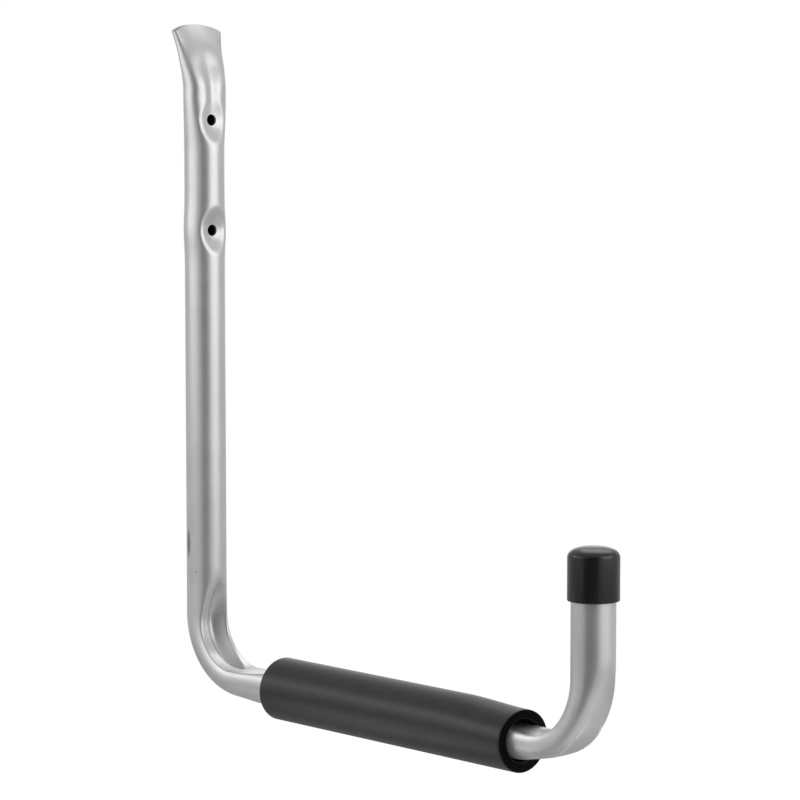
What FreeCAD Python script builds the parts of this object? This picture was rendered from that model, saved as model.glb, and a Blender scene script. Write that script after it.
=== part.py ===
# Garage utility hook: one bent steel tube, a foam sleeve on its arm and a vinyl cap on its tip.
#
# Frame: +Z up, the wall is the plane Y = 0, and the hook reaches out along -Y.
# The origin lies on the wall, midway between the two screw holes, in the plane of symmetry X = 0.
import FreeCAD, Part
import math
import os
import Sketcher
from FreeCAD import Rotation, Vector

os.makedirs("parts", exist_ok=True)
doc = FreeCAD.newDocument("GarageHook")

# Driving sizes in millimetres, or plain ratios where the name says ratio
sizes = {
    # the tube and its path
    "tube_diameter": 19.05,
    "tube_wall": 1.2,
    "leg_top": 71.2,
    "arm_drop": 238.1,
    "arm_reach": 260.3,
    "upturn_height": 83.5,
    "rear_bend_radius": 29.6,
    "front_bend_radius": 30.9,
    # what the dies press at each bend, before and after the point where the bend starts
    "rear_trough_before": 16.5,
    "rear_trough_after": 78.0,
    "rear_floor_ratio": 0.1,
    "rear_form_ratio": 0.9,
    "rear_crush_before": 17.2,
    "rear_crush_after": 63.7,
    "rear_squash_ratio": 0.03,
    "rear_flat_ratio": 0.12,
    "front_trough_before": 58.0,
    "front_trough_after": 50.0,
    "front_floor_ratio": 0.3,
    "front_form_ratio": 0.05,
    "front_crush_before": 27.0,
    "front_crush_after": 56.0,
    "front_squash_ratio": 0.045,
    "front_flat_ratio": 0.31,
    "trough_mouth_ratio": 1.02,
    "trough_lip": 2.4,
    "bend_spread_ratio": 0.046,
    "bend_fade_ratio": 0.55,
    # the end that is pressed flat against the wall
    "end_width": 30.2,
    "end_curl": 1.6,
    "end_gap": 0.9,
    "end_bow": 3.4,
    "flatten_length": 30.0,
    "flatten_power": 1.25,
    "flatten_front_power": 1.45,
    # the squared oval that the tube turns into on its way there
    "oval_length": 61.2,
    "oval_rise": 28.0,
    "oval_stop": 7.2,
    "oval_fall": 14.0,
    "oval_spread_ratio": 0.145,
    "oval_crown_ratio": 0.28,
    "oval_flank_ratio": 0.27,
    "oval_square_ratio": 0.8,
    # the valley from the upper dimple to the flattened end
    "valley_length": 43.2,
    "valley_rise": 13.0,
    "valley_fall": 26.0,
    "valley_depth": 1.6,
    "valley_width": 5.0,
    "valley_flare": 6.0,
    "flare_length": 33.2,
    "flare_rise": 22.0,
    # the screw holes and the dimples round them
    "hole_spacing": 52.0,
    "hole_diameter": 5.4,
    "dimple_depth": 4.2,
    "dimple_height": 18.6,
    "dimple_cross_radius": 11.0,
    "dimple_lip": 3.0,
    "tail_stretch_ratio": 2.0,
    "tail_taper": 7.0,
    "lower_spread_ratio": 0.08,
    # the foam sleeve
    "sleeve_start": 57.5,
    "sleeve_length": 161.1,
    "sleeve_wall": 4.55,
    "sleeve_clearance": 0.5,
    "sleeve_rest_gap": 0.05,
    "sleeve_edge": 0.8,
    # the end cap
    "cap_wall": 1.5,
    "cap_top": 3.1,
    "cap_dome": 2.0,
    "cap_overlap": 19.2,
    "cap_clearance": 0.04,
    "cap_edge": 2.2,
    "cap_rim_edge": 0.5,
}

sheet = doc.addObject("Spreadsheet::Sheet", "Sizes")
for row, (alias, value) in enumerate(sizes.items(), start=1):
    sheet.set(f"A{row}", alias)
    sheet.set(f"B{row}", str(value))
    sheet.setAlias(f"B{row}", alias)
doc.recompute()


def size(alias):
    return float(sheet.get(alias))


radius = size("tube_diameter") / 2
flat_thickness = 2 * size("tube_wall") + size("end_gap")

# How closely sections are drawn: points round each one, and millimetres or degrees between them
section_points = 72
pressed_pitch = 2.0
straight_pitch = 24.0
bend_pitch = 5.0


def smooth(x):
    """Rise from 0 to 1 with a level start and finish."""
    x = min(1.0, max(0.0, x))
    return x * x * (3 - 2 * x)


def path_stations():
    """Sections along the tube's axis, from the flattened end down the leg and out to the tip.

    Each is (point on the axis, direction of the pressed side, run), where run holds the
    distance along the tube from the start of each bend.
    """
    stations = []
    rear_radius = size("rear_bend_radius")
    front_radius = size("front_bend_radius")
    leg = size("leg_top") + size("arm_drop") - rear_radius
    arm = size("arm_reach") - rear_radius - front_radius
    starts = {"rear": leg, "front": leg + rear_radius * math.pi / 2 + arm}
    place = {"point": Vector(0, -radius, size("leg_top")), "done": 0.0,
             "heading": Vector(0, 0, -1), "inward": Vector(0, -1, 0)}

    def add(point, inward, done):
        stations.append((point, inward, {bend: done - start for bend, start in starts.items()}))

    def straight(length, pitch):
        count = max(1, round(length / pitch))
        for i in range(count):
            run = length * i / count
            add(place["point"] + place["heading"] * run, place["inward"], place["done"] + run)
        place["point"] = place["point"] + place["heading"] * length
        place["done"] += length

    def turn(bend_radius):
        heading, inward = place["heading"], place["inward"]
        centre = place["point"] + inward * bend_radius
        count = round(90 / bend_pitch)
        for i in range(count):
            angle = math.pi / 2 * i / count
            towards_centre = inward * math.cos(angle) - heading * math.sin(angle)
            add(centre - towards_centre * bend_radius, towards_centre, place["done"] + angle * bend_radius)
        place.update(point=centre + heading * bend_radius, heading=inward, inward=heading * -1,
                     done=place["done"] + bend_radius * math.pi / 2)

    def past_bend(bend, bend_radius):
        return size(f"{bend}_trough_after") - bend_radius * math.pi / 2

    pressed_length = size("leg_top") + size("hole_spacing") / 2 + size("dimple_height")
    straight(pressed_length, pressed_pitch)
    straight(leg - pressed_length - size("rear_crush_before"), straight_pitch)
    straight(size("rear_crush_before"), pressed_pitch)
    turn(rear_radius)
    straight(past_bend("rear", rear_radius), pressed_pitch)
    straight(arm - past_bend("rear", rear_radius) - size("front_trough_before"), straight_pitch)
    straight(size("front_trough_before"), pressed_pitch)
    turn(front_radius)
    straight(size("upturn_height") - front_radius, pressed_pitch * 2)
    add(place["point"], place["inward"], place["done"])
    return stations


def share(distance, bend, kind):
    """Where a distance lies in what a bend's die presses: -1 at its start, 1 at its end."""
    before = size(f"{bend}_{kind}_before")
    after = size(f"{bend}_{kind}_after")
    return (2 * distance + before - after) / (before + after)


def press(height, tool, lip):
    """Lower a surface to a tool that is pushed into it, with a rounded lip where they meet."""
    depth = height - tool
    if depth <= -lip:
        return height
    if depth >= lip:
        return tool
    return height - (depth + lip) ** 2 / (4 * lip)


def crescent(turn, inset):
    """The flattened end's outline: two walls pressed together into an arc, hollow towards the room."""
    half_width = size("end_width") / 2 - inset
    half_thick = flat_thickness / 2 - inset
    flat = half_width - half_thick
    half_length = flat + half_thick * math.pi / 2
    run = abs(math.asin(math.sin(turn))) / (math.pi / 2) * half_length
    fold = max(0.0, run - flat) / half_thick
    across = math.copysign(min(run, flat) + half_thick * math.sin(fold), math.sin(turn))
    lift = math.copysign(half_thick * math.cos(fold), math.cos(turn))
    half_end = size("end_width") / 2
    curl_radius = (half_end ** 2 + size("end_curl") ** 2) / (2 * size("end_curl"))
    middle = flat_thickness / 2 - radius
    angle = across / curl_radius
    return ((curl_radius - lift) * math.sin(angle),
            middle + curl_radius - (curl_radius - lift) * math.cos(angle))


def section(level, run, inset, turns):
    """The tube's outline at one station, set inset from its outside.

    Each point is (distance across, distance towards the pressed side). A turn of 0 is the
    middle of the pressed side, which is the front of the leg and the inside of the bends.
    """
    spread = squash = flat = 0.0
    tools = []
    for bend, distance in run.items():
        fade = smooth((1 - abs(share(distance, bend, "crush"))) / size("bend_fade_ratio"))
        spread += size("bend_spread_ratio") * fade
        squash += size(f"{bend}_squash_ratio") * fade
        flat += size(f"{bend}_flat_ratio") * fade
        along = abs(share(distance, bend, "trough"))
        if along < 1:
            mouth = size("trough_mouth_ratio")
            floor = radius * (mouth - (mouth - size(f"{bend}_floor_ratio")) * (1 - along ** 3))
            tools.append((floor, size(f"{bend}_form_ratio") / radius, size("trough_lip")))

    # The dimples are pressed by a round-nosed punch, and the upper one runs out into a pointed tail
    for hole_level in (size("hole_spacing") / 2, -size("hole_spacing") / 2):
        bowl_length = size("dimple_height") ** 2 / (8 * size("dimple_depth"))
        narrowing = 1.0
        if level > hole_level > 0:
            bowl_length *= size("tail_stretch_ratio")
            narrowing += ((level - hole_level) / size("tail_taper")) ** 2
        tools.append((radius - size("dimple_depth") + (level - hole_level) ** 2 / (2 * bowl_length),
                      narrowing / (2 * size("dimple_cross_radius")), size("dimple_lip")))
    below_hole = (2 * level + size("hole_spacing")) / size("dimple_height")
    spread += size("lower_spread_ratio") * math.exp(-below_hole ** 2)

    # Towards the top the tube turns oval, then flat, with a valley down the middle
    down = size("leg_top") - level
    flattened = min(1.0, max(0.0, 1 - down / size("flatten_length")))
    oval = (smooth((size("oval_length") - down) / size("oval_rise"))
            * smooth((down - size("oval_stop")) / size("oval_fall")))
    valley = (size("valley_depth") * smooth((size("valley_length") - down) / size("valley_rise"))
              * smooth(down / size("valley_fall")))
    valley_width = (size("valley_width")
                    + size("valley_flare") * smooth((size("flare_length") - down) / size("flare_rise")))

    half_width = radius * (1 + spread + size("oval_spread_ratio") * oval) - inset
    half_height = radius * (1 - squash) - inset
    crown = half_height * (1 - size("oval_crown_ratio") * oval)
    square = 2 + size("oval_square_ratio") * oval
    outline = []
    for turn in turns:
        s = math.sin(turn)
        c = math.cos(turn)
        if c > 0:
            reach = ((abs(s) / half_width) ** square + (c / crown) ** square) ** (-1 / square)
            across = reach * s
            lift = reach * c
        else:
            across = half_width * s
            lift = half_height * c * (1 - flat * c ** 2 - size("oval_flank_ratio") * oval * s ** 2)
        if flattened > 0:
            end_across, end_lift = crescent(turn, inset)
            across += (end_across - across) * flattened ** size("flatten_power")
            power = size("flatten_front_power") if c > 0 else size("flatten_power")
            lift += (end_lift - lift) * flattened ** power
        if c > 0:
            lift -= valley * math.exp(-(2 * across / valley_width) ** 2)
            for floor, bowl, lip in tools:
                wall_drop = inset * math.hypot(1, 2 * bowl * across)
                lift = press(lift, floor + bowl * across ** 2 - wall_drop, lip)
        outline.append((across, lift))
    return outline


def skin_solid(inset, overrun=0.0):
    """A closed solid through all sections, set inset from the tube's outside.

    Overrun lengthens it past both ends, so that the hollow opens there.
    """
    turns = [2 * math.pi * i / section_points for i in range(section_points)]
    rows = []
    for point, inward, run in path_stations():
        outline = section(point.z, run, inset, turns)
        rows.append([point + Vector(across, 0, 0) + inward * lift for across, lift in outline])
    if overrun:
        rows.insert(0, [p + Vector(0, 0, overrun) for p in rows[0]])
        rows.append([p + Vector(0, 0, overrun) for p in rows[-1]])
    along_knots = list(range(len(rows) - 2))
    along_counts = [4] + [1] * (len(along_knots) - 2) + [4]
    round_knots = list(range(section_points + 1))
    skin = Part.BSplineSurface()
    skin.buildFromPolesMultsKnots(rows, along_counts, [1] * len(round_knots), along_knots, round_knots,
                                  False, True, 3, 3)
    side = skin.toShape()
    rims = [edge for edge in side.Edges if edge.BoundBox.ZLength < 0.01]
    closed = Part.Compound([side] + [Part.Face(Part.Wire([rim])) for rim in rims])
    closed.sewShape()
    return Part.Solid(closed.Shells[0])


# The tube: its outside and its hollow are skins through the same sections, one wall apart
outside = doc.addObject("Part::Feature", "TubeOutside")
outside.Shape = skin_solid(0.0)
hollow = doc.addObject("Part::Feature", "TubeHollow")
hollow.Shape = skin_solid(size("tube_wall"), 1.0)

pressed_tube = doc.addObject("Part::Cut", "PressedTube")
pressed_tube.Base = outside
pressed_tube.Tool = hollow

# The flattened end is cropped to a shallow arc
crop_blank = doc.addObject("Part::Box", "CropBlank")
crop_blank.setExpression("Length", "Sizes.end_width * 2")
crop_blank.setExpression("Width", "Sizes.tube_diameter * 3")
crop_blank.setExpression("Height", "Sizes.end_width")
crop_blank.setExpression("Placement.Base.x", "-Sizes.end_width")
crop_blank.setExpression("Placement.Base.y", "-Sizes.tube_diameter * 2")
crop_blank.setExpression("Placement.Base.z", "Sizes.leg_top - Sizes.end_bow * 2")
crop_arc = doc.addObject("Part::Cylinder", "CropArc")
crop_arc.Placement.Rotation = Rotation(Vector(1, 0, 0), 90)
crop_radius = "((Sizes.end_width / 2) ^ 2 + Sizes.end_bow ^ 2) / (2 * Sizes.end_bow)"
crop_arc.setExpression("Radius", crop_radius)
crop_arc.setExpression("Height", "Sizes.tube_diameter * 4")
crop_arc.setExpression("Placement.Base.y", "Sizes.tube_diameter * 2")
crop_arc.setExpression("Placement.Base.z", f"Sizes.leg_top - {crop_radius}")
crop_tool = doc.addObject("Part::Cut", "CropTool")
crop_tool.Base = crop_blank
crop_tool.Tool = crop_arc

cropped_tube = doc.addObject("Part::Cut", "CroppedTube")
cropped_tube.Base = pressed_tube
cropped_tube.Tool = crop_tool

# A screw hole runs through both walls at the floor of each dimple
drills = []
for name, sign in (("UpperScrewHole", ""), ("LowerScrewHole", "-")):
    drill = doc.addObject("Part::Cylinder", name)
    drill.Placement.Rotation = Rotation(Vector(1, 0, 0), 90)
    drill.setExpression("Radius", "Sizes.hole_diameter / 2")
    drill.setExpression("Height", "Sizes.tube_diameter * 2")
    drill.setExpression("Placement.Base.y", "Sizes.tube_diameter / 2")
    drill.setExpression("Placement.Base.z", f"{sign}Sizes.hole_spacing / 2")
    drills.append(drill)
drill_pair = doc.addObject("Part::Fuse", "ScrewHoles")
drill_pair.Base, drill_pair.Tool = drills

hook_tube = doc.addObject("Part::Cut", "HookTube")
hook_tube.Label = "hook_tube"
hook_tube.Base = cropped_tube
hook_tube.Tool = drill_pair


def origin_plane(body, role):
    return next(item for item in body.Origin.OriginFeatures if item.Role == role)


def new_sketch(body, name, role):
    sketch = body.newObject("Sketcher::SketchObject", name)
    sketch.AttachmentSupport = [(origin_plane(body, role), "")]
    sketch.MapMode = "FlatFace"
    return sketch


def bind(sketch, constraint, name, expression):
    """Add a named constraint whose value comes from the sheet."""
    index = sketch.addConstraint(constraint)
    sketch.renameConstraint(index, name)
    sketch.setExpression(f"Constraints.{name}", expression)


def round_edges(body, name, base, wanted, radius_expression):
    """Fillet the edges of a feature that the test picks out."""
    names = [f"Edge{i}" for i, edge in enumerate(base.Shape.Edges, start=1) if wanted(edge)]
    fillet = body.newObject("PartDesign::Fillet", name)
    fillet.Base = (base, names)
    fillet.setExpression("Radius", radius_expression)
    body.Tip = fillet
    doc.recompute()
    return fillet


# The foam sleeve: a thick-walled length that hangs on the arm from the top of its bore
sleeve = doc.addObject("PartDesign::Body", "FoamSleeve")
sleeve.Label = "foam_sleeve"
ring = new_sketch(sleeve, "SleeveRing", "XZ_Plane")
sleeve_bore = radius + size("sleeve_clearance")
sleeve_radius = sleeve_bore + size("sleeve_wall")
for i, (name, start, expression) in enumerate((
        ("outer", sleeve_radius, "Sizes.tube_diameter / 2 + Sizes.sleeve_clearance + Sizes.sleeve_wall"),
        ("bore", sleeve_bore, "Sizes.tube_diameter / 2 + Sizes.sleeve_clearance"))):
    ring.addGeometry(Part.Circle(Vector(0, 0, 0), Vector(0, 0, 1), start), False)
    ring.addConstraint(Sketcher.Constraint("Coincident", i, 3, -1, 1))
    bind(ring, Sketcher.Constraint("Radius", i, start), name, expression)
doc.recompute()
run = sleeve.newObject("PartDesign::Pad", "SleeveRun")
run.Profile = ring
run.setExpression("Length", "Sizes.sleeve_length")
sleeve.Tip = run
doc.recompute()


def is_sleeve_rim(edge):
    return edge.BoundBox.YLength < 0.01 and abs(edge.BoundBox.XLength / 2 - sleeve_radius) < 0.01


round_edges(sleeve, "SleeveEdges", run, is_sleeve_rim, "Sizes.sleeve_edge")
sleeve.setExpression("Placement.Base.y", "-Sizes.tube_diameter / 2 - Sizes.sleeve_start")
sleeve.setExpression("Placement.Base.z", "-Sizes.arm_drop - Sizes.sleeve_clearance + Sizes.sleeve_rest_gap")

# The end cap: a moulded cup with a slightly domed top, turned about the upturn's axis
cap = doc.addObject("PartDesign::Body", "EndCap")
cap.Label = "end_cap"
profile = new_sketch(cap, "CapProfile", "XZ_Plane")
bore = radius + size("cap_clearance")
outer = bore + size("cap_wall")
depth = size("cap_overlap")
crown = depth + size("cap_top")
shoulder = crown - size("cap_dome")
dome_radius = (outer ** 2 + (crown - shoulder) ** 2) / (2 * (crown - shoulder))
corners = [Vector(bore, 0, 0), Vector(outer, 0, 0), Vector(outer, shoulder, 0)]
profile.addGeometry(Part.LineSegment(corners[0], corners[1]), False)
profile.addGeometry(Part.LineSegment(corners[1], corners[2]), False)
dome_centre = Vector(0, crown - dome_radius, 0)
dome_start = math.atan2(shoulder - dome_centre.y, outer)
profile.addGeometry(Part.ArcOfCircle(Part.Circle(dome_centre, Vector(0, 0, 1), dome_radius),
                                     dome_start, math.pi / 2), False)
profile.addGeometry(Part.LineSegment(Vector(0, crown, 0), Vector(0, depth, 0)), False)
profile.addGeometry(Part.LineSegment(Vector(0, depth, 0), Vector(bore, depth, 0)), False)
profile.addGeometry(Part.LineSegment(Vector(bore, depth, 0), corners[0]), False)
rim, wall, dome, axis, seat, inside = range(6)
for first, first_end, second, second_end in ((rim, 2, wall, 1), (wall, 2, dome, 1), (dome, 2, axis, 1),
                                             (axis, 2, seat, 1), (seat, 2, inside, 1), (inside, 2, rim, 1)):
    profile.addConstraint(Sketcher.Constraint("Coincident", first, first_end, second, second_end))
profile.addConstraint(Sketcher.Constraint("PointOnObject", rim, 1, -1))
profile.addConstraint(Sketcher.Constraint("Horizontal", rim))
profile.addConstraint(Sketcher.Constraint("Vertical", wall))
profile.addConstraint(Sketcher.Constraint("Horizontal", seat))
profile.addConstraint(Sketcher.Constraint("Vertical", inside))
profile.addConstraint(Sketcher.Constraint("PointOnObject", axis, 1, -2))
profile.addConstraint(Sketcher.Constraint("PointOnObject", axis, 2, -2))
profile.addConstraint(Sketcher.Constraint("PointOnObject", dome, 3, -2))
bind(profile, Sketcher.Constraint("DistanceX", -1, 1, rim, 1, bore), "bore",
     "Sizes.tube_diameter / 2 + Sizes.cap_clearance")
bind(profile, Sketcher.Constraint("DistanceX", rim, 1, rim, 2, outer - bore), "wall", "Sizes.cap_wall")
bind(profile, Sketcher.Constraint("DistanceY", -1, 1, seat, 1, depth), "depth", "Sizes.cap_overlap")
bind(profile, Sketcher.Constraint("DistanceY", seat, 1, dome, 2, crown - depth), "top", "Sizes.cap_top")
bind(profile, Sketcher.Constraint("DistanceY", dome, 1, dome, 2, crown - shoulder), "dome", "Sizes.cap_dome")
doc.recompute()
cup = cap.newObject("PartDesign::Revolution", "CapCup")
cup.Profile = profile
cup.ReferenceAxis = (profile, ["V_Axis"])
cup.Angle = 360
cap.Tip = cup
doc.recompute()


def is_cap_ring(edge):
    return edge.BoundBox.ZLength < 0.01 and abs(edge.BoundBox.XLength / 2 - outer) < 0.01


def is_shoulder(edge):
    return is_cap_ring(edge) and edge.BoundBox.ZMin > depth / 2


def is_rim(edge):
    return is_cap_ring(edge) and edge.BoundBox.ZMin < depth / 2


shoulder_round = round_edges(cap, "CapShoulder", cup, is_shoulder, "Sizes.cap_edge")
round_edges(cap, "CapRim", shoulder_round, is_rim, "Sizes.cap_rim_edge")
cap.setExpression("Placement.Base.y", "-Sizes.tube_diameter / 2 - Sizes.arm_reach")
cap.setExpression("Placement.Base.z", "-Sizes.arm_drop + Sizes.upturn_height - Sizes.cap_overlap")

doc.recompute()
failed = [item.Name for item in doc.Objects if {"Invalid", "Error"} & set(item.State)]
if failed:
    raise RuntimeError(f"these objects failed: {failed}")
pieces = [hook_tube, sleeve, cap]
for piece in pieces:
    if piece.Shape.isNull() or not piece.Shape.isValid():
        raise RuntimeError(f"{piece.Label} has no valid shape")
for piece in pieces:
    piece.Shape.exportStep(f"parts/{piece.Label}.step")
    print(piece.Label, len(piece.Shape.Solids), round(piece.Shape.Volume, 1))
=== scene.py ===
import math
import bpy
import numpy as np
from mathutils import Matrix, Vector


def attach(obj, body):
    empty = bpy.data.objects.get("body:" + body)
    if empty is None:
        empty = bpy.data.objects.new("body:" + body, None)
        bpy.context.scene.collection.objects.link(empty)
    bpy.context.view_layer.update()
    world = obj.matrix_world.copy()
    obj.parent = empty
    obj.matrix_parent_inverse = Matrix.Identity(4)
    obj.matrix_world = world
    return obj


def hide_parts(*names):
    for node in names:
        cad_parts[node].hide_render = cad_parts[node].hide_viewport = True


# Garage utility hook: a bent silver tube with pressed screw seats, a foam sleeve and a vinyl cap.
# The wall is the plane y = 0, the hook reaches along -y, and z = 0 lies midway between the holes.
# Sizes are in mm and angles in degrees, but the studio at the end is in metres.
mm = 0.001
smoothAngle = 40

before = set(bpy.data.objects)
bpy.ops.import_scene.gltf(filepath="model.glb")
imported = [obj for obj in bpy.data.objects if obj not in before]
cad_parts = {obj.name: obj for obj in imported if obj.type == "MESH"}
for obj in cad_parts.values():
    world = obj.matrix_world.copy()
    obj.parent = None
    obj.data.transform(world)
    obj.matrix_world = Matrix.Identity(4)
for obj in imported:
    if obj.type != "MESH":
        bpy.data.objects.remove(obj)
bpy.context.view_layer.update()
print("frame loaded")


def deselectAll():
    if bpy.context.object and bpy.context.object.mode != "OBJECT":
        bpy.ops.object.mode_set(mode="OBJECT")
    bpy.ops.object.select_all(action="DESELECT")


def makeActive(piece):
    deselectAll()
    piece.select_set(True)
    bpy.context.view_layer.objects.active = piece


def addPrimitive(name, operator, **settings):
    deselectAll()
    operator(**settings)
    piece = bpy.context.object
    piece.name = name
    piece.data.name = name
    bpy.ops.object.transform_apply(location=True, rotation=True, scale=True)
    return piece


def applyModifier(piece, kind, **settings):
    modifier = piece.modifiers.new(kind.title(), kind)
    for setting, value in settings.items():
        setattr(modifier, setting, value)
    makeActive(piece)
    bpy.ops.object.modifier_apply(modifier=modifier.name)


def smoothFaces(piece):
    makeActive(piece)
    bpy.ops.object.shade_smooth_by_angle(angle=math.radians(smoothAngle))


def editPicked(piece, mode, picked):
    # goes into edit mode with the vertices, edges or faces picked by a test
    makeActive(piece)
    bpy.ops.object.mode_set(mode="EDIT")
    bpy.ops.mesh.select_mode(type=mode)
    bpy.ops.mesh.select_all(action="DESELECT")
    bpy.ops.object.mode_set(mode="OBJECT")
    mesh = piece.data
    for part in {"VERT": mesh.vertices, "EDGE": mesh.edges, "FACE": mesh.polygons}[mode]:
        part.select = bool(picked(part))
    bpy.ops.object.mode_set(mode="EDIT")


def readPoints(piece):
    points = np.empty(len(piece.data.vertices) * 3)
    piece.data.vertices.foreach_get("co", points)
    return points.reshape(-1, 3)


def writePoints(piece, points):
    piece.data.vertices.foreach_set("co", points.ravel())
    piece.data.update()


def placePiece(piece, node):
    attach(piece, "root")
    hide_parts(node)


# Materials

def linear(hexColour):
    # from sRGB in hex to the linear colour that a socket takes
    channels = [int(hexColour[i:i + 2], 16) / 255 for i in (1, 3, 5)]
    return [c / 12.92 if c <= 0.04045 else ((c + 0.055) / 1.055) ** 2.4 for c in channels] + [1.0]


def join(material, source, target, socket):
    # source is (node, output)
    node, output = source
    material.node_tree.links.new(node.outputs[output], target.inputs[socket])


def addNode(material, kind, settings=None, values=None, links=None):
    # settings are the node's own, values go on its sockets, links are {socket: (node, output)}
    node = material.node_tree.nodes.new(kind)
    for name, value in (settings or {}).items():
        setattr(node, name, value)
    for name, value in (values or {}).items():
        node.inputs[name].default_value = value
    for name, source in (links or {}).items():
        join(material, source, node, name)
    return node


def newMaterial(name, values=None, shader="ShaderNodeBsdfPrincipled"):
    # returns the material and its surface shader, whose sockets get the values
    material = bpy.data.materials.new(name)
    material.use_nodes = True
    material.node_tree.nodes.clear()
    surface = addNode(material, shader, values=values)
    addNode(material, "ShaderNodeOutputMaterial", links={"Surface": (surface, 0)})
    return material, surface


def addNoise(material, place, size, detail):
    # a cloudy pattern in the piece's own coordinates, with clouds of about the given size
    return addNode(material, "ShaderNodeTexNoise", {}, {"Scale": 1 / (size * mm), "Detail": detail},
                   {"Vector": (place, "Object")})


def addRamp(material, source, first, last, span=(0.0, 1.0)):
    # goes from the first colour to the last while its source goes through the span
    ramp = addNode(material, "ShaderNodeValToRGB", links={"Fac": source})
    for element, position, colour in zip(ramp.color_ramp.elements, span, (first, last)):
        element.position = position
        element.color = linear(colour)
    return ramp, "Color"


def addMix(material, amount, base, colour):
    # lays a colour over the base. 6 and 7 are a mix node's colour sockets, 2 is its colour output
    mixed = addNode(material, "ShaderNodeMix", {"data_type": "RGBA"}, {7: linear(colour)},
                    {0: amount, 6: base})
    return mixed, 2


def joinRoughness(material, surface, pattern, span):
    rough = addNode(material, "ShaderNodeMapRange", values={"To Min": span[0], "To Max": span[1]},
                    links={"Value": (pattern, "Fac")})
    join(material, (rough, "Result"), surface, "Roughness")


def joinBump(material, surface, pattern, height, strength=1.0):
    bump = addNode(material, "ShaderNodeBump", {}, {"Distance": height * mm, "Strength": strength},
                   {"Height": (pattern, "Fac")})
    join(material, (bump, "Normal"), surface, "Normal")


silver = {
    "light": "#CCCCCC",
    "deep": "#C0C0C0",
    "span": (0.35, 0.95),       # of the clouds and flake, from deep to light
    "foldHighlight": "#FAFAFA",        # painted highlight along the top of the fold
    "metallic": 0.7,
    "roughness": (0.33, 0.41),
    "cloudSize": 14,
    "flakeSize": 0.35,
    "flakeShare": 0.5,
    "peelSize": 1.6,            # between the bumps of the paint's orange peel
    "peelHeight": 0.004,
    "marks": [                  # middle, half sizes along x, y and z, colour
        ((-9.36, -7.5, -175.3), (1.1, 2.0, 7.6), "#868684"),
        ((-8.87, -12.98, -188.6), (0.5, 0.5, 0.5), "#707070"),
    ],
    "markEdge": (1.35, 1.0),    # where a mark starts and where it is full, in its half sizes
    "markRagged": 0.7,
}


def silverPaint():
    # Silver metallic paint, sprayed on drawn steel: soft wide reflections, a faint orange peel and
    # fine flake, with a painted highlight along the fold
    material, surface = newMaterial("silverMetallicPaint", {"Metallic": silver["metallic"]})
    place = addNode(material, "ShaderNodeTexCoord")
    flake = addNoise(material, place, silver["flakeSize"], 1.0)
    cloud = addNoise(material, place, silver["cloudSize"], 3.0)
    blend = addNode(material, "ShaderNodeMath", {"operation": "MULTIPLY_ADD"},
                    {1: silver["flakeShare"]}, {0: (flake, "Fac"), 2: (cloud, "Fac")})
    painted = addRamp(material, (blend, "Value"), silver["deep"], silver["light"], silver["span"])
    outer, inner = silver["markEdge"]
    for middle, halfSizes, shade in silver["marks"]:
        offset = addNode(material, "ShaderNodeVectorMath", {"operation": "SUBTRACT"},
                         {1: [c * mm for c in middle]}, {0: (place, "Object")})
        scaled = addNode(material, "ShaderNodeVectorMath", {"operation": "DIVIDE"},
                         {1: [h * mm for h in halfSizes]}, {0: (offset, "Vector")})
        away = addNode(material, "ShaderNodeVectorMath", {"operation": "LENGTH"},
                       links={0: (scaled, "Vector")})
        ragged = addNode(material, "ShaderNodeMath", {"operation": "MULTIPLY_ADD"},
                         {1: silver["markRagged"]}, {0: (flake, "Fac"), 2: (away, "Value")})
        worn = addNode(material, "ShaderNodeMapRange", {}, {"From Min": outer, "From Max": inner},
                       {"Value": (ragged, "Value")})
        painted = addMix(material, (worn, "Result"), painted, shade)
    # a painted highlight: near-white colour laid along the top of the fold
    foldHighlightMask = addNode(material, "ShaderNodeAttribute", {"attribute_name": "foldHighlightMask"})
    painted = addMix(material, (foldHighlightMask, "Fac"), painted, silver["foldHighlight"])
    join(material, painted, surface, "Base Color")
    joinRoughness(material, surface, cloud, silver["roughness"])
    peel = addNoise(material, place, silver["peelSize"], 2.0)
    joinBump(material, surface, peel, silver["peelHeight"])
    return material


# painted shade for the inside of the tube
tubeInsideShade = {"dark": "#1C1B1A", "light": "#2C2A28", "metallic": 0.4, "roughness": 0.7, "cloudSize": 2}


def paintedShadeInside():
    # The inside of the tube: painted shade, a dark cloudy colour that keeps the screw holes black
    material, surface = newMaterial("paintedShadeTubeInside", {"Metallic": tubeInsideShade["metallic"],
                                                       "Roughness": tubeInsideShade["roughness"]})
    place = addNode(material, "ShaderNodeTexCoord")
    cloud = addNoise(material, place, tubeInsideShade["cloudSize"], 3.0)
    colour = addRamp(material, (cloud, "Fac"), tubeInsideShade["dark"], tubeInsideShade["light"])
    join(material, colour, surface, "Base Color")
    return material


foam = {
    "skin": "#161617",
    "skinWorn": "#292929",
    "roughness": 0.4,
    "shine": 0.38,
    "cloudSize": 9,
    "poreSize": 0.9,
    "poreHeight": 0.05,
    "poreStrength": 0.5,
    "cut": "#0A0A0B",
    "cutRoughness": 0.95,
    "cutShine": 0.1,
    "dust": "#5A5A58",
    "dustSize": 0.45,
    "dustSpan": (0.7, 0.78),    # only the peaks of the pattern are dust
}


def foamRubber():
    # Closed-cell nitrile foam with a moulded skin: a dull black with a soft sheen at grazing angles
    material, surface = newMaterial("nitrileFoam", {"Roughness": foam["roughness"],
                                                    "Specular IOR Level": foam["shine"]})
    place = addNode(material, "ShaderNodeTexCoord")
    cloud = addNoise(material, place, foam["cloudSize"], 4.0)
    colour = addRamp(material, (cloud, "Fac"), foam["skin"], foam["skinWorn"])
    join(material, colour, surface, "Base Color")
    pores = addNoise(material, place, foam["poreSize"], 3.0)
    joinBump(material, surface, pores, foam["poreHeight"], foam["poreStrength"])
    return material


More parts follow.
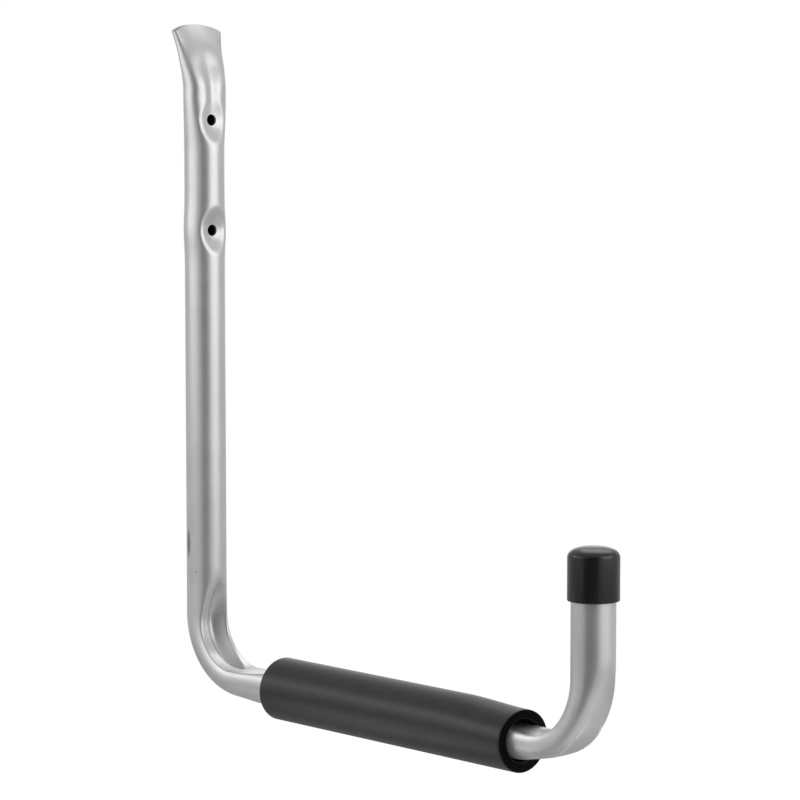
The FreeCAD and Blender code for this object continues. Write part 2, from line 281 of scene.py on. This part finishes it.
def cutFoam():
    # The same foam where a knife cut it: open cells that swallow the light, and a few pale grains
    # of dust
    material, surface = newMaterial("cutNitrileFoam", {"Roughness": foam["cutRoughness"],
                                                       "Specular IOR Level": foam["cutShine"]})
    place = addNode(material, "ShaderNodeTexCoord")
    grain = addNoise(material, place, foam["dustSize"], 1.0)
    colour = addRamp(material, (grain, "Fac"), foam["cut"], foam["dust"], foam["dustSpan"])
    join(material, colour, surface, "Base Color")
    joinBump(material, surface, grain, foam["poreHeight"])
    return material


vinyl = {"colour": "#161617", "roughness": (0.22, 0.32), "cloudSize": 3, "rippleHeight": 0.01}


def blackVinyl():
    # Dipped PVC: smooth black with soft, clear reflections
    material, surface = newMaterial("blackVinyl", {"Base Color": linear(vinyl["colour"])})
    place = addNode(material, "ShaderNodeTexCoord")
    cloud = addNoise(material, place, vinyl["cloudSize"], 3.0)
    joinRoughness(material, surface, cloud, vinyl["roughness"])
    joinBump(material, surface, cloud, vinyl["rippleHeight"])
    return material


# The tube: one skin from the flattened end, down the leg, round both bends and up to the tip

tube = {
    "radius": 9.525,
    "wall": 1.2,
    "legTop": 71.2,
    "armDrop": 238.1,
    "armReach": 260.3,
    "upturnHeight": 83.5,
    "paintedInside": 9.0,       # how far the paint went down into the open end
    "around": 120,              # faces round the tube
    "crowding": (0.22, 0.06),   # how much closer they lie on its pressed side
    "weld": 0.01,
}
# how far apart the rows of faces are along the tube, bend being in degrees, and how far the close
# rows go on beside a bend
rowPitch = {"close": 1.0, "leg": 4.0, "arm": 5.0, "tip": 2.5, "bend": 1.5,
            "legLead": 18.0, "armLead": 32.0}
# Spans are in mm along the tube from where its bend starts. The tube is wider and thinner along
# crush, and flatter on its outside along flatten. A die was pushed into its inside along a span. It
# stops at floor above the axis, in tube radii, and on both sides of middle its face rises by
# form * distance ** power / radius. lip rounds the edge that it leaves. The rear bend has a trough
# in a wider, shallower one, so its lips are double, and the front one a broad trough with a short
# dent in it.
bends = {
    "rear": {
        "radius": 29.6,
        "crush": (-17.2, 63.7), "squash": 0.03,
        "flatten": (-17.2, 63.7), "flat": 0.12,
        "dies": [
            dict(span=(-17.5, 82.0), floor=0.42, form=0.09, power=2, middle=0.0, lip=0.9),
            dict(span=(-16.5, 50.0), floor=-0.05, form=4.1, power=1.5, middle=1.65, lip=0.5),
        ],
    },
    "front": {
        "radius": 30.9,
        "crush": (-27.0, 56.0), "squash": 0.045,
        "flatten": (-12.0, 56.0), "flat": 0.31,
        "dies": [
            dict(span=(-40.0, 50.0), floor=0.36, form=0.113, power=2, middle=0.0, lip=0.7),
            dict(span=(-21.0, 40.0), floor=0.0, form=0.55, power=2, middle=0.0, lip=0.5),
        ],
    },
}
# how high a die is at the ends of its span and how its floor curves up to them, how much wider the
# crushed tube is, and the share of half a span over which that fades
trough = {"mouth": 1.02, "endPower": 3, "spread": 0.046, "fade": 0.55}
# the thin fold on each side of the front bend's outside: where it lies along the tube, and the
# angle round the tube at its middle, which swings on towards its ends. Its width is in degrees too
fold = {"middle": 22.0, "reach": 13.0, "fade": 1.5, "turn": 139.0, "swing": 15.0,
        "swingLength": 11.0, "height": 0.6, "width": 3.0}
# the end that is pressed flat, and the oval that the tube turns into on its way there
flatEnd = {"width": 30.2, "curl": 1.6, "gap": 0.9, "length": 30.0, "power": 1.25,
           "frontPower": 1.45, "bow": 4.2, "bowReach": 24.0, "bowTurns": 3}
oval = {"start": 10.0, "rise": 28.0, "finish": 64.0, "fall": 14.0,
        "spread": 0.145, "crown": 0.28, "flank": 0.27, "squareness": 0.8}
# the shallow valley down the middle of the leg's front, which runs up into the flat end
valley = {"start": 28.0, "rise": 13.0, "fall": 26.0, "depth": 1.4, "width": 6.2,
          "flareStart": 38.0, "flareLength": 22.0, "flare": 6.0}
dimple = {"spacing": 52.0, "hole": 5.4, "depth": 4.2, "height": 18.6, "crossRadius": 11.0,
          "lip": 3.0, "tailStretch": 2.0, "tailTaper": 7.0, "lowerSpread": 0.08}
drillBit = {"sides": 48, "length": 60.0, "middle": -10.0}


def smooth(x):
    x = np.clip(x, 0.0, 1.0)
    return x * x * (3 - 2 * x)


def share(distance, span):
    # -1 at the start of a span to 1 at its end
    return np.clip((2 * distance - span[0] - span[1]) / (span[1] - span[0]), -1, 1)


def fadeIn(distance, span):
    # 1 in the middle of a span, fading to 0 at its ends
    return smooth((1 - np.abs(share(distance, span))) / trough["fade"])


def press(height, tool, lip):
    # lowers a surface to a tool that is pushed into it, with a rounded lip where they meet
    depth = height - tool
    rounded = height - (depth + lip) ** 2 / (4 * lip)
    return np.where(depth <= -lip, height, np.where(depth >= lip, tool, rounded))


def steps(start, end, pitch):
    # from the start to just before the end
    count = max(1, round(abs(end - start) / pitch))
    return [start + (end - start) * i / count for i in range(count)]


def tubeRows():
    # each row is a point on the axis, the direction of the pressed side there, and how far along
    # the tube it is from the start of the rear bend and from that of the front bend
    r, foot = tube["radius"], -tube["armDrop"]
    rearRadius, frontRadius = bends["rear"]["radius"], bends["front"]["radius"]
    bendTop = foot + rearRadius
    frontBend = tube["armReach"] - frontRadius
    rearArc = rearRadius * math.pi / 2
    frontArc = frontRadius * math.pi / 2
    armLength = frontBend - rearRadius
    rows = []

    def addRow(point, side, fromRear):
        rows.append((point, side, fromRear, fromRear - rearArc - armLength))

    close, lead = rowPitch["close"], rowPitch["armLead"]
    bendSteps = steps(0, math.pi / 2, math.radians(rowPitch["bend"]))
    dimplesEnd = -dimple["spacing"] / 2 - dimple["height"]
    leadTop = bendTop + rowPitch["legLead"]
    for z in (steps(tube["legTop"], dimplesEnd, close) + steps(dimplesEnd, leadTop, rowPitch["leg"])
              + steps(leadTop, bendTop, close)):
        addRow((0, -r, z), (0, -1, 0), bendTop - z)
    for a in bendSteps:
        addRow((0, -r - rearRadius * (1 - math.cos(a)), bendTop - rearRadius * math.sin(a)),
               (0, -math.cos(a), math.sin(a)), a * rearRadius)
    for d in (steps(0, lead, close) + steps(lead, armLength - lead, rowPitch["arm"])
              + steps(armLength - lead, armLength, close)):
        addRow((0, -r - rearRadius - d, foot), (0, 0, 1), rearArc + d)
    for a in bendSteps:
        addRow((0, -r - frontBend - frontRadius * math.sin(a),
                foot + frontRadius * (1 - math.cos(a))),
               (0, math.sin(a), math.cos(a)), rearArc + armLength + a * frontRadius)
    for h in steps(frontRadius, tube["upturnHeight"], rowPitch["tip"]) + [tube["upturnHeight"]]:
        addRow((0, -r - tube["armReach"], foot + h), (0, 1, 0),
               rearArc + armLength + frontArc + h - frontRadius)
    return rows


def crescent(turn):
    # the flat end's outline: two walls a small gap apart, round at the edges and curled a little
    halfThick = tube["wall"] + flatEnd["gap"] / 2
    flat = flatEnd["width"] / 2 - halfThick
    halfLength = flat + halfThick * math.pi / 2
    run = np.abs(np.arcsin(np.clip(np.sin(turn), -1, 1))) / (math.pi / 2) * halfLength
    edge = np.clip((run - flat) / halfThick, 0, math.pi / 2)
    across = np.copysign(np.minimum(run, flat) + halfThick * np.sin(edge), np.sin(turn))
    lift = np.copysign(halfThick * np.cos(edge), np.cos(turn))
    curl = ((flatEnd["width"] / 2) ** 2 + flatEnd["curl"] ** 2) / (2 * flatEnd["curl"])
    angle = across / curl
    return ((curl - lift) * np.sin(angle),
            halfThick - tube["radius"] + curl - (curl - lift) * np.cos(angle))


def onFold(front, turn):
    # 1 along the fold, fading to 0 beside it and at its ends
    along = front - fold["middle"]
    foldTurn = fold["turn"] + fold["swing"] * (along / fold["swingLength"]) ** 2
    off = (np.degrees(np.abs((turn + np.pi) % (2 * np.pi) - np.pi)) - foldTurn) / fold["width"]
    return (smooth(fold["fade"] - fold["fade"] * np.abs(along) / fold["reach"])
            * np.exp(-off ** 2))


def pressTools(level, rear, front):
    # the dies and dimples as (floor, form, power, middle, lip), for arrays of places on the tube
    r = tube["radius"]
    outOfReach = 100.0
    tools = []
    for bend, distance in ((bends["rear"], rear), (bends["front"], front)):
        for die in bend["dies"]:
            reach = np.abs(share(distance, die["span"]))
            sunk = (trough["mouth"] - die["floor"]) * (1 - reach ** trough["endPower"])
            floor = np.where(reach < 1, r * (trough["mouth"] - sunk), outOfReach)
            tools.append((floor, die["form"] / r, die["power"], die["middle"], die["lip"]))
    bowl = dimple["height"] ** 2 / (8 * dimple["depth"])
    for seat in (dimple["spacing"] / 2, -dimple["spacing"] / 2):
        # the upper dimple runs out upwards into a pointed tail
        tail = np.maximum(level - seat, 0) if seat > 0 else 0 * level
        length = np.where(tail > 0, bowl * dimple["tailStretch"], bowl)
        narrow = 1 + (tail / dimple["tailTaper"]) ** 2
        tools.append((r - dimple["depth"] + (level - seat) ** 2 / (2 * length),
                      narrow / (2 * dimple["crossRadius"]), 2, 0.0, dimple["lip"]))
    return tools


def tubeOutline(level, rear, front, turn):
    # distance across and distance towards the pressed side, for arrays of places on the tube
    r = tube["radius"]
    pressed = np.cos(turn) > 0
    spread = squash = flat = 0.0
    for bend, distance in ((bends["rear"], rear), (bends["front"], front)):
        crush = fadeIn(distance, bend["crush"])
        spread = spread + trough["spread"] * crush
        squash = squash + bend["squash"] * crush
        flat = flat + bend["flat"] * fadeIn(distance, bend["flatten"])
    # the lower dimple has pushed the tube wider
    fromLower = (2 * level + dimple["spacing"]) / dimple["height"]
    spread = spread + dimple["lowerSpread"] * np.exp(-fromLower ** 2)
    flattened = np.clip((level - tube["legTop"]) / flatEnd["length"] + 1, 0, 1)
    ovalness = (smooth((level - oval["start"]) / oval["rise"])
                * smooth((oval["finish"] - level) / oval["fall"]))
    groove = (valley["depth"] * smooth((level - valley["start"]) / valley["rise"])
              * smooth((tube["legTop"] - level) / valley["fall"]))
    flare = smooth((level - valley["flareStart"]) / valley["flareLength"])
    grooveWidth = valley["width"] + valley["flare"] * flare

    halfWidth = r * (1 + spread + oval["spread"] * ovalness)
    crown = r * (1 - squash) * (1 - oval["crown"] * ovalness)
    square = 2 + oval["squareness"] * ovalness
    reach = ((np.abs(np.sin(turn)) / halfWidth) ** square
             + (np.abs(np.cos(turn)) / crown) ** square) ** (-1 / square)
    across = np.where(pressed, reach, halfWidth) * np.sin(turn)
    back = r * (1 - squash) * (1 - flat * np.cos(turn) ** 2
                               - oval["flank"] * ovalness * np.sin(turn) ** 2)
    lift = np.where(pressed, reach, back) * np.cos(turn)
    endAcross, endLift = crescent(turn)
    across = across + (endAcross - across) * flattened ** flatEnd["power"]
    liftPower = np.where(pressed, flatEnd["frontPower"], flatEnd["power"])
    lift = lift + (endLift - lift) * flattened ** liftPower
    lift = np.where(pressed, lift - groove * np.exp(-(2 * across / grooveWidth) ** 2), lift)
    for floor, form, power, middle, lip in pressTools(level, rear, front):
        tool = floor + form * np.abs(across - middle) ** power
        lift = np.where(pressed, press(lift, tool, lip), lift)
    ridge = fold["height"] * onFold(front, turn)
    return across + ridge * np.sin(turn), lift + ridge * np.cos(turn)


def bowedLevels(level, rear, front, turn):
    # the flat end is cropped to a shallow arc, so its rows bow down towards its edges. The outline
    # changes with the bow, which therefore takes a few turns to settle
    halfWidth = flatEnd["width"] / 2
    arcRadius = (halfWidth ** 2 + flatEnd["bow"] ** 2) / (2 * flatEnd["bow"])
    nearEnd = smooth((level - tube["legTop"] + flatEnd["bowReach"]) / flatEnd["bowReach"])
    bowed = level
    for _ in range(flatEnd["bowTurns"]):
        across = np.abs(tubeOutline(bowed, rear, front, turn)[0])
        drop = arcRadius - np.sqrt(arcRadius ** 2 - np.minimum(across, halfWidth) ** 2)
        bowed = level - drop * nearEnd
    return bowed


def makeTube():
    rows = tubeRows()
    skin = addPrimitive("bentTube", bpy.ops.mesh.primitive_grid_add, size=1,
                        x_subdivisions=tube["around"], y_subdivisions=len(rows) - 1)
    points = readPoints(skin)
    even = 2 * math.pi * points[:, 0]
    turn = even - tube["crowding"][0] * np.sin(even) - tube["crowding"][1] * np.sin(2 * even)
    row = np.rint((points[:, 1] + 0.5) * (len(rows) - 1)).astype(int)
    axis, side, rear, front = (np.array(column, float)[row] for column in zip(*rows))
    axis[:, 2] = bowedLevels(axis[:, 2], rear, front, turn)
    across, lift = tubeOutline(axis[:, 2], rear, front, turn)
    writePoints(skin, (axis + across[:, None] * np.array([1.0, 0, 0]) + lift[:, None] * side) * mm)
    # where the fold's painted highlight goes, 1 along the fold
    foldHighlightMask = skin.data.attributes.new("foldHighlightMask", "FLOAT", "POINT")
    foldHighlightMask.data.foreach_set("value", onFold(front, turn).astype(np.float32))
    editPicked(skin, "VERT", lambda vertex: True)
    bpy.ops.mesh.remove_doubles(threshold=tube["weld"] * mm)
    bpy.ops.mesh.normals_make_consistent(inside=False)
    bpy.ops.object.mode_set(mode="OBJECT")
    skin.data.materials.append(silverPaint())
    skin.data.materials.append(paintedShadeInside())
    # the inner faces get the painted shade, all but the last few mm at the open end
    applyModifier(skin, "SOLIDIFY", thickness=tube["wall"] * mm, offset=-1.0, use_even_offset=True,
                  material_offset=1)
    for face in skin.data.polygons:
        if face.center.z > (tube["legTop"] - tube["paintedInside"]) * mm:
            face.material_index = 0
    for seat in (dimple["spacing"] / 2, -dimple["spacing"] / 2):
        drill = addPrimitive("drill", bpy.ops.mesh.primitive_cylinder_add,
                             vertices=drillBit["sides"], radius=dimple["hole"] / 2 * mm,
                             depth=drillBit["length"] * mm, rotation=(math.pi / 2, 0, 0),
                             location=(0, drillBit["middle"] * mm, seat * mm))
        applyModifier(skin, "BOOLEAN", operation="DIFFERENCE", solver="EXACT", object=drill)
        bpy.data.objects.remove(drill)
    smoothFaces(skin)
    return skin


bentTube = makeTube()
placePiece(bentTube, "hook_tube")
print("tube made:", len(bentTube.data.polygons), "faces")


# The foam sleeve: hangs on the arm from the top of its bore, and its front end has sagged a little

sleeve = {
    "start": 57.5,
    "length": 161.1,
    "wall": 4.55,
    "clearance": 0.5,
    "restGap": 0.05,            # left between the tube and the top of the bore
    "edge": 0.5,
    "edgeSegments": 4,
    "edgeAngle": 50,            # a sharper turn than this is rounded
    "sag": 1.7,
    "sagLength": 38.0,
    "around": 128,
    "cuts": 80,
    "cutFacing": 0.97,          # faces this square to the arm are cut foam
}


def makeSleeve():
    radius = tube["radius"] + sleeve["clearance"] + sleeve["wall"]
    level = -tube["armDrop"] - sleeve["clearance"] + sleeve["restGap"]
    middle = -tube["radius"] - sleeve["start"] - sleeve["length"] / 2
    body = addPrimitive("foamSleeve", bpy.ops.mesh.primitive_cylinder_add,
                        vertices=sleeve["around"], radius=radius * mm,
                        depth=sleeve["length"] * mm, end_fill_type="NOTHING",
                        rotation=(math.pi / 2, 0, 0), location=(0, middle * mm, level * mm))
    along = readPoints(body)[:, 1]

    def runsAlong(edge):
        start, end = edge.vertices
        return abs(along[start] - along[end]) > sleeve["length"] / 2 * mm

    editPicked(body, "EDGE", runsAlong)
    bpy.ops.mesh.subdivide(number_cuts=sleeve["cuts"])
    bpy.ops.object.mode_set(mode="OBJECT")
    applyModifier(body, "SOLIDIFY", thickness=sleeve["wall"] * mm, offset=-1.0,
                  use_even_offset=True)
    applyModifier(body, "BEVEL", width=sleeve["edge"] * mm, segments=sleeve["edgeSegments"],
                  limit_method="ANGLE", angle_limit=math.radians(sleeve["edgeAngle"]))
    points = readPoints(body)
    front = (middle - sleeve["length"] / 2) * mm
    near = smooth(1 - (points[:, 1] - front) / (sleeve["sagLength"] * mm))
    high = np.clip((points[:, 2] - level * mm) / (radius * mm), 0, 1)
    points[:, 2] -= sleeve["sag"] * mm * near * high
    writePoints(body, points)
    smoothFaces(body)
    body.data.materials.append(foamRubber())
    body.data.materials.append(cutFoam())
    for face in body.data.polygons:
        face.material_index = 1 if abs(face.normal.y) > sleeve["cutFacing"] else 0
    return body


foamSleeve = makeSleeve()
placePiece(foamSleeve, "foam_sleeve")
print("sleeve made:", len(foamSleeve.data.polygons), "faces")


# The cap: a cup pushed over the tip, with a rounded crown that starts at a narrow ledge

cap = {
    "wall": 1.5,
    "clearance": 0.04,
    "overlap": 19.2,
    "top": 3.6,                 # from the tube's tip to the middle of the crown
    "crown": 3.9,
    "crownPower": 2.6,          # 2 would make the crown a plain ellipse
    "ledge": 0.25,
    "rings": 16,
    "rimEdge": 0.5,
    "rimSegments": 3,
    "around": 96,
    "facing": 0.9,              # faces whose normal is this upright are ends
}


def makeCap():
    radius = tube["radius"] + cap["clearance"] + cap["wall"]
    tip = -tube["armDrop"] + tube["upturnHeight"]
    rim = tip - cap["overlap"]
    shoulder = tip + cap["top"] - cap["crown"]
    centre = -tube["radius"] - tube["armReach"]
    slack = 0.1 * mm
    body = addPrimitive("vinylCap", bpy.ops.mesh.primitive_cylinder_add, vertices=cap["around"],
                        radius=radius * mm, depth=(shoulder - rim) * mm,
                        location=(0, centre * mm, (shoulder + rim) / 2 * mm))
    # rings on the top face, moved to the crown
    editPicked(body, "FACE", lambda face: face.normal.z > cap["facing"])
    bpy.ops.mesh.inset(thickness=cap["ledge"] * mm)
    crownRadius = radius - cap["ledge"]
    for _ in range(cap["rings"]):
        bpy.ops.mesh.inset(thickness=crownRadius / (cap["rings"] + 1) * mm)
    bpy.ops.object.mode_set(mode="OBJECT")
    points = readPoints(body)
    fromAxis = np.hypot(points[:, 0], points[:, 1] - centre * mm)
    inner = (points[:, 2] > shoulder * mm - slack) & (fromAxis < crownRadius * mm - slack)
    out = fromAxis / (crownRadius * mm)
    wanted = np.sin(np.clip(out, 0, 1) * math.pi / 2)
    ratio = np.where(inner, wanted / out, 1.0)
    lift = cap["crown"] * mm * np.sqrt(1 - wanted ** cap["crownPower"])
    points[:, 0] *= ratio
    points[:, 1] = centre * mm + (points[:, 1] - centre * mm) * ratio
    points[:, 2] += np.where(inner, lift, 0)
    writePoints(body, points)
    # the bore
    editPicked(body, "FACE", lambda face: face.normal.z < -cap["facing"])
    bpy.ops.mesh.inset(thickness=cap["wall"] * mm)
    bpy.ops.mesh.extrude_region_move(TRANSFORM_OT_translate={"value": (0, 0, cap["overlap"] * mm)})
    bpy.ops.object.mode_set(mode="OBJECT")

    def onRim(edge):
        ends = [body.data.vertices[i].co for i in edge.vertices]
        return all(abs(end.z - rim * mm) < slack
                   and abs(math.hypot(end.x, end.y - centre * mm) - radius * mm) < slack
                   for end in ends)

    editPicked(body, "EDGE", onRim)
    bpy.ops.mesh.bevel(offset=cap["rimEdge"] * mm, offset_type="OFFSET",
                       segments=cap["rimSegments"], profile=0.5, clamp_overlap=False)
    bpy.ops.object.mode_set(mode="OBJECT")
    smoothFaces(body)
    body.data.materials.append(blackVinyl())
    return body


vinylCap = makeCap()
placePiece(vinylCap, "end_cap")
print("cap made:", len(vinylCap.data.polygons), "faces")


# Studio, in metres: a pale floor well below the hook, soft boxes around it and overhead, and dark
# flags that keep some light off it

studio = {
    "worldGrey": 0.64,          # what lights the hook, while the camera sees white
    "flagColour": "#545454",
    "floorLevel": -0.6,
    "floorSize": 3.2,
    "floorColour": "#B4B4B4",
    "floorGlow": 1.15,
    "floorGlowShare": 0.85,     # of what the camera sees of the floor
}
hookMiddle = (0, -0.14, -0.09)
frontBend = (0, -0.25, -0.2)
# name, azimuth from +x towards +y and elevation as seen from the aim, distance, width, height,
# radiance, aim
softBoxes = [
    ("leftBox", 152, 10, 0.68, 0.6, 0.32, 1.2, hookMiddle),
    ("rightBox", 289, 14, 1.4, 1.4, 1.1, 1.65, hookMiddle),
    ("farLeftBox", 129, 17, 1.4, 0.42, 0.34, 2.4, hookMiddle),
    ("topBox", 30, 55, 1.3, 1.0, 1.0, 1.6, hookMiddle),
    ("backBox", 48, 4, 1.5, 0.9, 0.5, 0.9, hookMiddle),
    ("lowBox", 120, -27, 0.3, 0.13, 0.12, 1.05, frontBend),
    ("frontLowBox", 262, -62, 0.5, 0.7, 0.5, 0.42, hookMiddle),
]
# the same, as far as the height
blackFlags = [
    ("cameraFlag", 227, 0, 1.15, 0.95, 1.6),
    ("nearFlag", 216, -22, 0.52, 0.38, 0.34),
]


def standAt(holder, azimuth, elevation, distance, aim):
    # puts a lamp or a flag where it belongs, turned to its aim and hidden from the camera
    a, e = math.radians(azimuth), math.radians(elevation)
    towards = Vector((math.cos(a) * math.cos(e), math.sin(a) * math.cos(e), math.sin(e)))
    holder.location = Vector(aim) + towards * distance
    holder.rotation_euler = towards.to_track_quat("Z", "Y").to_euler()
    holder.visible_camera = False


for name, azimuth, elevation, distance, width, height, radiance, aim in softBoxes:
    lamp = bpy.data.lights.new(name, "AREA")
    lamp.shape = "RECTANGLE"
    lamp.size, lamp.size_y = width, height
    lamp.energy = radiance * math.pi * width * height
    holder = bpy.data.objects.new(name, lamp)
    bpy.context.scene.collection.objects.link(holder)
    standAt(holder, azimuth, elevation, distance, aim)

felt = newMaterial("blackFelt", {"Color": linear(studio["flagColour"])}, "ShaderNodeBsdfDiffuse")[0]
for name, azimuth, elevation, distance, width, height in blackFlags:
    flag = addPrimitive(name, bpy.ops.mesh.primitive_plane_add, size=1)
    flag.scale = (width, height, 1)
    standAt(flag, azimuth, elevation, distance, hookMiddle)
    flag.data.materials.append(felt)

floor = addPrimitive("floor", bpy.ops.mesh.primitive_plane_add, size=studio["floorSize"],
                     location=(0, 0, studio["floorLevel"]))
paleFloor, floorMix = newMaterial("paleFloor", shader="ShaderNodeMixShader")
matt = addNode(paleFloor, "ShaderNodeBsdfDiffuse", values={"Color": linear(studio["floorColour"])})
glow = addNode(paleFloor, "ShaderNodeEmission",
               values={"Color": (1, 1, 1, 1), "Strength": studio["floorGlow"]})
ray = addNode(paleFloor, "ShaderNodeLightPath")
seen = addNode(paleFloor, "ShaderNodeMath", {"operation": "MULTIPLY"},
               {1: studio["floorGlowShare"]}, {0: (ray, "Is Camera Ray")})
join(paleFloor, (seen, "Value"), floorMix, 0)
join(paleFloor, (matt, "BSDF"), floorMix, 1)
join(paleFloor, (glow, "Emission"), floorMix, 2)
floor.data.materials.append(paleFloor)

world = bpy.data.worlds.new("studio")
bpy.context.scene.world = world
world.use_nodes = True
world.node_tree.nodes.clear()
grey, white = (
    addNode(world, "ShaderNodeBackground", values={"Color": (1, 1, 1, 1), "Strength": strength})
    for strength in (studio["worldGrey"], 1.0))
worldRay = addNode(world, "ShaderNodeLightPath")
worldMix = addNode(world, "ShaderNodeMixShader", links={
    0: (worldRay, "Is Camera Ray"), 1: (grey, "Background"), 2: (white, "Background")})
addNode(world, "ShaderNodeOutputWorld", links={"Surface": (worldMix, "Shader")})

# the photograph's camera. back points from what it sees to the camera
eye = {"place": (-0.8961, -1.1542, 0.0199), "back": (-0.66288, -0.74366, 0.08719),
       "lens": 137.27, "sensorWidth": 36.0, "clipEnd": 100}
camera = bpy.data.objects.new("camera", bpy.data.cameras.new("camera"))
bpy.context.scene.collection.objects.link(camera)
camera.location = eye["place"]
camera.rotation_euler = (-Vector(eye["back"])).to_track_quat("-Z", "Y").to_euler()
camera.data.lens = eye["lens"]
camera.data.sensor_width = eye["sensorWidth"]
camera.data.clip_end = eye["clipEnd"]
bpy.context.scene.camera = camera
bpy.context.scene.view_settings.view_transform = "Standard"

print("studio ready")
